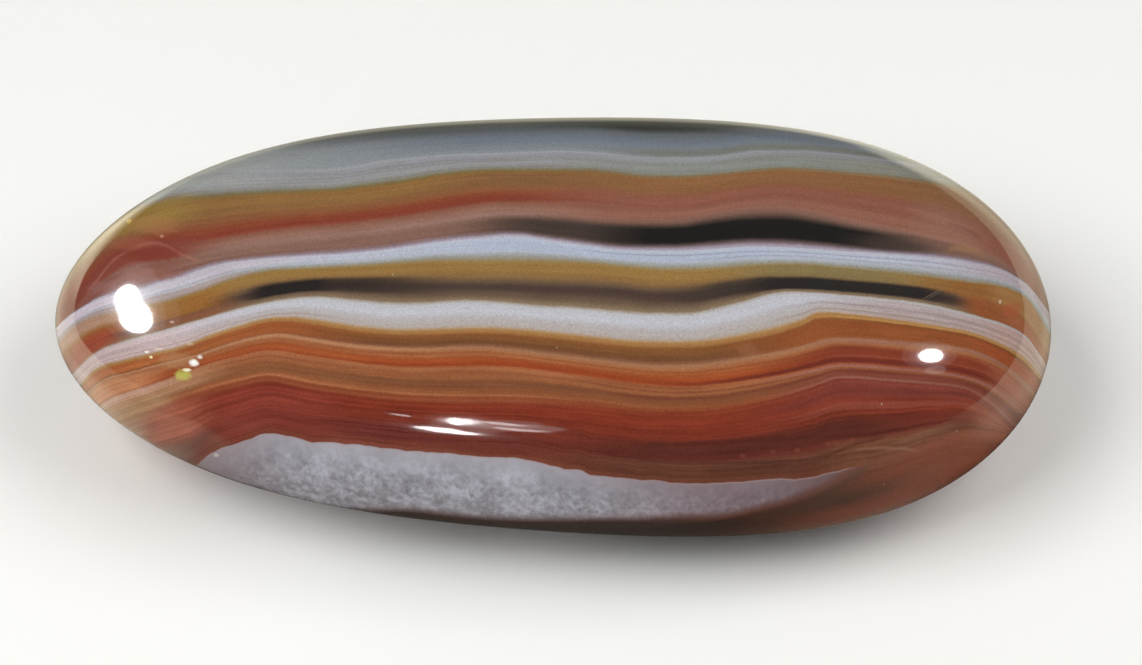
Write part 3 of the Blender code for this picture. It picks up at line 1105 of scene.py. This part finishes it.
@dataclass
class PalmStone:
    """The stone: a long rounded form on a small ground flat."""

    node: str = "agate_stone"
    low: Vector = field(default_factory=lambda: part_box("agate_stone")[0])
    high: Vector = field(default_factory=lambda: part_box("agate_stone")[1])
    flat_depth: float = 0.0004
    skin_gap: float = 0.00001
    end_power: float = 3.9
    taper: float = 0.10
    waist: float = 0.19
    section_power: float = 2.34
    centre_lean: float = -0.0012
    centre_return: float = 0.0009
    cage_faces: int = 12
    smooth_levels: int = 3
    cut_threshold: float = 1e-7
    pole_radius: float = 1e-6

    @property
    def middle_height(self) -> float:
        """Height of the stone's middle above the surface that it lies on, before grinding."""
        return (self.high.z - self.flat_depth) / 2.0

    @property
    def size(self) -> Vector:
        """Length, width and thickness before the flat is ground."""
        return self.high - self.low + Vector((0.0, 0.0, self.flat_depth))

    def section_scale(self, p: float) -> float:
        """Half size of the section at p, from -1 to 1 along the stone, as a share of the whole."""
        ends = math.sqrt(max(1.0 - abs(p) ** self.end_power, 0.0))
        return ends * (1.0 + self.taper * p - self.waist * p * p)

    def stone_point(self, direction: Vector) -> Vector:
        """Move a point of the unit sphere to the stone's surface.

        Args:
            direction: The point on the unit sphere.

        Returns:
            The point on the stone, in metres from its middle.
        """
        p, across, up = direction
        ring = math.hypot(across, up)
        lean = self.centre_lean * p + self.centre_return * p**3
        middle = Vector((p * self.size.x / 2.0, lean, 0.0))
        if ring < self.pole_radius:
            return middle
        across, up = across / ring, up / ring
        power = self.section_power
        reach = (abs(across) ** power + abs(up) ** power) ** (-1.0 / power) * self.section_scale(p)
        return middle + Vector((0.0, across * reach * self.size.y / 2.0, up * reach * self.size.z / 2.0))

    def build(self) -> bpy.types.Object:
        """Model the stone and put it on its node's place.

        Returns:
            The finished piece.
        """
        bpy.ops.object.select_all(action="DESELECT")
        bpy.ops.mesh.primitive_cube_add(size=2.0)
        stone = bpy.context.object
        stone.name = "polished_stone"
        bpy.ops.object.mode_set(mode="EDIT")
        bpy.ops.mesh.select_all(action="SELECT")
        bpy.ops.mesh.subdivide(number_cuts=self.cage_faces - 1)
        bpy.ops.transform.tosphere(value=1.0)
        bpy.ops.object.mode_set(mode="OBJECT")
        for vertex in stone.data.vertices:
            vertex.co = self.stone_point(vertex.co.normalized())
        smooth = stone.modifiers.new("polished surface", "SUBSURF")
        smooth.levels = self.smooth_levels
        smooth.render_levels = self.smooth_levels
        bpy.ops.object.modifier_apply(modifier=smooth.name)
        bpy.ops.object.shade_smooth()
        self._bring_to_size(stone)
        self._grind_flat(stone)
        log.info("%s has %d faces", stone.name, len(stone.data.polygons))
        return stone

    def _bring_to_size(self, stone: bpy.types.Object) -> None:
        """Stretch the smoothed stone to its size and set it on its place.

        Args:
            stone: The stone.
        """
        points = [vertex.co for vertex in stone.data.vertices]
        low = Vector([min(point[axis] for point in points) for axis in range(3)])
        high = Vector([max(point[axis] for point in points) for axis in range(3)])
        gap = Vector((self.skin_gap, self.skin_gap, self.skin_gap))
        target_low = self.low - Vector((0.0, 0.0, self.flat_depth)) + gap
        target = self.size - 2.0 * gap
        factors = [wanted / (top - bottom) for wanted, top, bottom in zip(target, high, low)]
        for vertex in stone.data.vertices:
            share = vertex.co - low
            vertex.co = target_low + Vector([share[axis] * factors[axis] for axis in range(3)])

    def _grind_flat(self, stone: bpy.types.Object) -> None:
        """Cut the underside off at the surface that the stone lies on.

        Args:
            stone: The stone.
        """
        bpy.context.view_layer.objects.active = stone
        bpy.ops.object.mode_set(mode="EDIT")
        bpy.ops.mesh.select_all(action="SELECT")
        bpy.ops.mesh.bisect(
            plane_co=(0.0, 0.0, self.low.z + self.skin_gap),
            plane_no=(0.0, 0.0, 1.0),
            use_fill=True,
            clear_inner=True,
            threshold=self.cut_threshold,
        )
        bpy.ops.mesh.region_to_loop()
        bpy.ops.mesh.mark_sharp()
        bpy.ops.mesh.select_all(action="SELECT")
        bpy.ops.mesh.normals_make_consistent(inside=False)
        bpy.ops.object.mode_set(mode="OBJECT")

    def dress(self, stone: bpy.types.Object, finish: AgateFinish) -> None:
        """Give the stone its one material.

        Args:
            stone: The stone.
            finish: The material's finish.
        """
        stone.data.materials.clear()
        stone.data.materials.append(finish.material())
        log.info("%s is dressed in %s", stone.name, finish.name)


STONE = PalmStone()


@dataclass(frozen=True)
class Mirrored:
    """A light that the polish mirrors at one place of the photograph.

    The axes are the steps in pixels from its middle to the ends of its two half widths.
    """

    name: str
    middle: Pixel
    long_axis: Pixel
    short_axis: Pixel
    radiance: float


@dataclass(frozen=True)
class Softbox:
    """A square soft light that the polish doesn't mirror, turned to the stone."""

    name: str
    place: tuple[float, float, float]
    size: float
    watts: float


@dataclass(frozen=True)
class Pool:
    """A pool of light on the floor beside the stone, which only the polish mirrors.

    Its slopes say how far behind the stone's middle it lies for each mm beside it, first and last,
    each with its fade. It starts some mm beside the middle, and may end.
    """

    slopes: tuple[float, float]
    slope_fades: tuple[float, float]
    start: float
    fade: float
    brightness: float
    end: float = math.inf

    def light(self, bench: Bench, slope: Signal, beside: Signal) -> Signal:
        """Work out how bright the pool is at a point of the floor.

        Args:
            bench: The floor material's bench.
            slope: The point's slope.
            beside: How far beside the stone's middle it lies, in mm.

        Returns:
            The brightness.
        """
        (first, last), (first_fade, last_fade) = self.slopes, self.slope_fades
        glow = bench.rise(slope, first, first_fade) * bench.fall(slope, last, last_fade)
        glow = glow * bench.rise(beside, self.start, self.fade) * self.brightness
        return glow * bench.fall(beside, self.end, self.fade) if self.end < math.inf else glow


@dataclass
class Studio:
    """A pale floor, soft light, and the lights that the polish mirrors."""

    floor_size: float = 4.0
    floor_colour: Rgb = (252, 252, 249)
    bounce_colour: Rgb = (238, 228, 216)
    mirrored_colour: Rgb = (252, 246, 220)
    sky_diffuse: float = 0.20
    sky_mirrored: float = 0.12
    sky_seen: float = 0.95
    sensor_width: float = 36.0
    clip_start: float = 0.01

    # The floor in the polish: veils replace the pale rim where they are brighter, hazes add to it.
    # The dip in the right veil starts so far off that only its end counts.
    least_beside: float = 1.0
    floor_base: float = 0.04
    far_front: float = 0.20
    behind: float = 0.15
    rim: float = 0.45
    rim_right: float = 0.15
    rim_end: float = 0.55

    # Where each of them starts or ends and its fade, in mm from the middle but for the steep slope
    steep_start: tuple[float, float] = (1.0, 0.4)
    far_loss_start: tuple[float, float] = (76.0, 14.0)
    far_front_start: tuple[float, float] = (45.0, 30.0)
    rim_end_start: tuple[float, float] = (24.0, 12.0)
    rim_right_start: tuple[float, float] = (-15.0, 20.0)
    rim_start: tuple[float, float] = (12.0, 6.0)
    rim_stop: tuple[float, float] = (59.0, 14.0)
    behind_start: tuple[float, float] = (50.0, 12.0)
    behind_stop: tuple[float, float] = (130.0, 60.0)

    left_veils: tuple[Pool, ...] = (
        Pool((-0.26, 1.2), (0.14, 0.3), 45.5, 11.0, 1.5),
        Pool((0.6, 0.98), (0.15, 0.15), 45.5, 11.0, 1.0),
        Pool((-0.14, 0.15), (0.1, 0.1), 68.0, 14.0, 0.7))
    right_veil: Pool = Pool((-0.36, 1.9), (0.14, 0.35), 47.0, 11.0, 0.95)
    right_dip: Pool = Pool((0.2, 0.46), (0.1, 0.1), -1000.0, 15.0, 0.32, 80.0)
    left_hazes: tuple[Pool, ...] = (
        Pool((-0.68, -0.3), (0.14, 0.14), 56.0, 20.0, 0.6),
        Pool((-0.75, -0.05), (0.1, 0.1), 33.0, 7.0, 0.68, 56.0))
    right_haze: Pool = Pool((-1.2, -0.4), (0.15, 0.15), 24.0, 12.0, 0.22)

    softboxes: tuple[Softbox, ...] = (
        Softbox("left_softbox", (-0.22, -0.10, 0.36), 0.26, 1.15),
        Softbox("right_softbox", (0.24, -0.04, 0.34), 0.26, 0.75))
    lamp_distance: float = 0.5
    halo_gap: float = 0.01
    halos: tuple[tuple[float, float], ...] = (
        (1.15, 0.12), (1.35, 0.05), (1.7, 0.025), (2.3, 0.012))
    least_haloed: float = 20.0
    mirrored: tuple[Mirrored, ...] = (
        Mirrored("left_window_top", (127.5, 299.0), (2.0, 12.0), (14.0, -1.0), 30.0),
        Mirrored("left_window_waist", (131.0, 307.0), (3.0, 14.0), (15.0, -1.0), 34.0),
        Mirrored("left_window", (135.5, 317.5), (3.0, 16.0), (16.0, -2.0), 40.0),
        Mirrored("right_lamp", (932.0, 356.0), (11.0, 1.2), (0.0, 7.3), 45.0),
        Mirrored("right_glow", (935.0, 370.0), (11.0, 0.5), (0.0, 5.0), 1.2),
        Mirrored("front_slit", (447.0, 431.0), (27.0, 3.5), (-0.5, 3.0), 22.0),
        Mirrored("front_lamp", (459.0, 422.0), (14.0, 1.0), (0.0, 4.0), 22.0),
        Mirrored("front_haze", (470.0, 428.0), (42.0, 3.5), (0.0, 10.0), 1.0),
        Mirrored("front_glow", (508.0, 427.0), (38.0, 4.0), (0.0, 4.5), 1.6),
        Mirrored("front_band", (500.0, 425.0), (24.0, 1.5), (0.0, 1.6), 7.0),
        Mirrored("front_thread", (520.0, 429.5), (26.0, 2.5), (0.0, 1.1), 6.0),
        Mirrored("front_spark", (401.0, 416.0), (11.0, 1.5), (0.0, 1.0), 7.0),
    )

    def build(self, stone: bpy.types.Object) -> None:
        """Set up the floor, the world, the camera and the lights.

        Args:
            stone: The piece that the lights are mirrored in.
        """
        self._floor()
        self._world()
        camera = self._camera()
        for softbox in self.softboxes:
            self._softbox(softbox)
        for light in self.mirrored:
            self._mirrored_light(light, stone, camera)

    def _floor(self) -> None:
        """Lay the floor that the stone lies on: pale to the camera, dimmer to bounced light, and to the
        polish a painted glow of pools of light.
        """
        bpy.ops.object.select_all(action="DESELECT")
        bpy.ops.mesh.primitive_plane_add(size=self.floor_size)
        floor = bpy.context.object
        floor.name = "floor"
        material = bpy.data.materials.new("pale_floor")
        material.use_nodes = True
        bench = Bench(material.node_tree)
        seen = bench.signal("ShaderNodeBsdfDiffuse", {}, {"Color": linear(self.floor_colour)})
        glow = bench.mix(1.0, linear(self.mirrored_colour), self._floor_glow(bench), Blend.SHADE)
        mirrored = bench.signal("ShaderNodeEmission", {}, {"Color": glow})
        dim = bench.signal("ShaderNodeBsdfDiffuse", {}, {"Color": linear(self.bounce_colour)})
        path = bench.node("ShaderNodeLightPath").outputs
        lit = bench.signal("ShaderNodeMixShader", {}, {0: path["Is Diffuse Ray"], 1: seen, 2: dim})
        either = bench.signal("ShaderNodeMixShader", {}, {0: path["Is Glossy Ray"], 1: lit, 2: mirrored})
        bench.node("ShaderNodeOutputMaterial", {}, {"Surface": either})
        floor.data.materials.append(material)
        log.info("%s is %.1f m wide", floor.name, self.floor_size)

    def _floor_glow(self, bench: Bench) -> Signal:
        """Make the floor's brightness in the polish: pools of light beside the stone's ends.

        Args:
            bench: The floor material's bench.

        Returns:
            The brightness.
        """
        where = bench.signal("ShaderNodeTexCoord", output="Object")
        x, y = (part / MM for part in bench.parts(where)[:2])
        slope = y / (abs(x) + self.least_beside)
        steep = bench.rise(slope, *self.steep_start)
        steep_shift, veil_gain, steep_gain, far_loss = 12.0, 1.15, 0.2, 0.6
        dip = self.right_dip.light(bench, slope, x)
        veil = self.right_veil.light(bench, slope, x + steep * steep_shift) * (1.0 - dip)
        loss = bench.rise(x, *self.far_loss_start) * far_loss
        veil = veil * (veil_gain + steep * (steep_gain - loss))
        for pool in self.left_veils:
            veil = veil + pool.light(bench, slope, 0.0 - x)
        haze = self.right_haze.light(bench, slope, x)
        for pool in self.left_hazes:
            haze = haze + pool.light(bench, slope, 0.0 - x)
        far_front = bench.rise(0.0 - y, *self.far_front_start) * self.far_front
        rim_end = bench.rise(x, *self.rim_end_start) * steep * self.rim_end
        rim_right = bench.rise(x, *self.rim_right_start) * self.rim_right
        rim = bench.fall(y, *self.rim_stop) * bench.rise(y, *self.rim_start)
        rim = rim * (rim_end + rim_right + self.rim)
        back = bench.rise(y, *self.behind_start) * bench.fall(y, *self.behind_stop) * self.behind
        return haze + far_front + self.floor_base + (rim + back).at_least(veil)

    def _world(self) -> None:
        """Light the scene from all round, and keep the room dark where the polish mirrors it."""
        world = bpy.data.worlds.new("studio")
        world.use_nodes = True
        bpy.context.scene.world = world
        bench = Bench(world.node_tree)
        seen = bench.signal("ShaderNodeLightPath", output="Is Camera Ray")
        mirrored = bench.signal("ShaderNodeLightPath", output="Is Glossy Ray")
        strength = self.sky_diffuse + mirrored * (self.sky_mirrored - self.sky_diffuse)
        strength = strength + seen * (self.sky_seen - self.sky_diffuse)
        white = (1.0, 1.0, 1.0, 1.0)
        sky = bench.signal("ShaderNodeBackground", {}, {"Color": white, "Strength": strength})
        bench.node("ShaderNodeOutputWorld", {}, {"Surface": sky})
        bpy.context.scene.view_settings.view_transform = "Standard"

    def _camera(self) -> bpy.types.Object:
        """Put the camera where the photograph was taken from.

        Returns:
            The camera.
        """
        lean = PHOTO.camera_elevation
        back = Vector((0.0, -math.cos(lean), math.sin(lean)))
        up = Vector((0.0, math.sin(lean), math.cos(lean)))
        right = Vector((1.0, 0.0, 0.0))
        middle = Vector((0.0, 0.0, STONE.middle_height))
        axis_along, axis_height = (part * MM for part in PHOTO.view_axis_mm)
        data = bpy.data.cameras.new("camera")
        data.sensor_width = self.sensor_width
        seen_width = PHOTO.wide / PHOTO.pixels_per_mm * MM
        data.lens = data.sensor_width * PHOTO.camera_distance / seen_width
        data.clip_start = self.clip_start
        camera = bpy.data.objects.new("camera", data)
        bpy.context.scene.collection.objects.link(camera)
        camera.location = middle + back * PHOTO.camera_distance + right * axis_along + up * axis_height
        camera.rotation_euler = (math.pi / 2.0 - lean, 0.0, 0.0)
        bpy.context.scene.camera = camera
        log.info("%s stands at %s", camera.name, tuple(camera.location))
        return camera

    def _softbox(self, softbox: Softbox) -> None:
        """Hang a soft light.

        Args:
            softbox: Its place, size and power.
        """
        data = bpy.data.lights.new(softbox.name, "AREA")
        data.size = softbox.size
        data.energy = softbox.watts
        light = bpy.data.objects.new(softbox.name, data)
        bpy.context.scene.collection.objects.link(light)
        light.location = softbox.place
        light.rotation_euler = (-light.location).to_track_quat("-Z", "Y").to_euler()
        light.visible_glossy = False
        log.info("%s hangs at %s with %.2f W", softbox.name, softbox.place, softbox.watts)

    def _mirror_ray(
        self, pixel: Pixel, stone: bpy.types.Object, camera: bpy.types.Object
    ) -> tuple[Vector, Vector]:
        """Follow the view through a pixel to the stone and off it.

        Args:
            pixel: The pixel.
            stone: The piece that mirrors.
            camera: The camera.

        Returns:
            The place of a lamp that the pixel shows, and the mirrored direction.
        """
        across = (pixel[0] - PHOTO.wide / 2.0) / PHOTO.pixels_per_mm * MM
        up = (PHOTO.high / 2.0 - pixel[1]) / PHOTO.pixels_per_mm * MM
        ray = camera.rotation_euler.to_matrix() @ Vector((across, up, -PHOTO.camera_distance))
        ray.normalize()
        hit, point, normal, _ = stone.ray_cast(camera.location, ray)
        if not hit:
            raise ValueError(f"no stone at pixel {pixel}")
        direction = ray.reflect(normal)
        return point + direction * self.lamp_distance, direction

    def _mirrored_light(self, light: Mirrored, stone: bpy.types.Object, camera: bpy.types.Object) -> None:
        """Hang a lamp where the polish mirrors it at a pixel, with halos round a bright one.

        Args:
            light: Its place and size in the photograph.
            stone: The piece that mirrors.
            camera: The camera.
        """
        spans = []
        for step_x, step_y in (light.long_axis, light.short_axis):
            ends = [
                self._mirror_ray(
                    (light.middle[0] + sign * step_x, light.middle[1] + sign * step_y), stone, camera
                )[0]
                for sign in (1.0, -1.0)
            ]
            spans.append(ends[0] - ends[1])
        place, direction = self._mirror_ray(light.middle, stone, camera)
        wide, tall = spans
        x_axis = (wide - wide.dot(direction) * direction).normalized()
        y_axis = direction.cross(x_axis)
        turn = Matrix((x_axis, y_axis, direction)).transposed()
        size = (abs(wide.dot(x_axis)), abs(tall.dot(y_axis)))
        self._lamp(light.name, place, turn, size, light.radiance)
        if light.radiance < self.least_haloed:
            return
        behind = place + direction * self.halo_gap
        for scale, share in self.halos:
            around = (size[0] * scale, size[1] * scale)
            self._lamp(f"{light.name}_halo_{scale:g}", behind, turn, around, light.radiance * share)

    def _lamp(
        self, name: str, place: Vector, turn: Matrix, size: tuple[float, float], radiance: float
    ) -> None:
        """Hang one round lamp that only the polish sees.

        Args:
            name: Its name.
            place: Where it hangs.
            turn: Its axes, the third pointing away from the stone.
            size: Its width and height.
            radiance: How bright its face is.
        """
        data = bpy.data.lights.new(name, "AREA")
        data.shape = "ELLIPSE"
        data.size, data.size_y = size
        area = math.pi * size[0] * size[1] / 4.0
        data.energy = radiance * math.pi * area
        lamp = bpy.data.objects.new(name, data)
        bpy.context.scene.collection.objects.link(lamp)
        lamp.rotation_euler = turn.to_euler()
        lamp.location = place
        lamp.visible_diffuse = False
        lamp.visible_camera = False
        log.info("%s hangs at %s, %.3f by %.3f m", name, tuple(place), size[0], size[1])


def main() -> None:
    """Build the stone and its studio."""
    logging.basicConfig(level=logging.INFO, format="%(name)s: %(message)s")
    stone = STONE.build()
    STONE.dress(stone, AgateFinish())
    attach(stone, "root")
    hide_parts(STONE.node)
    Studio().build(stone)


if __name__ == "__main__":
    main()
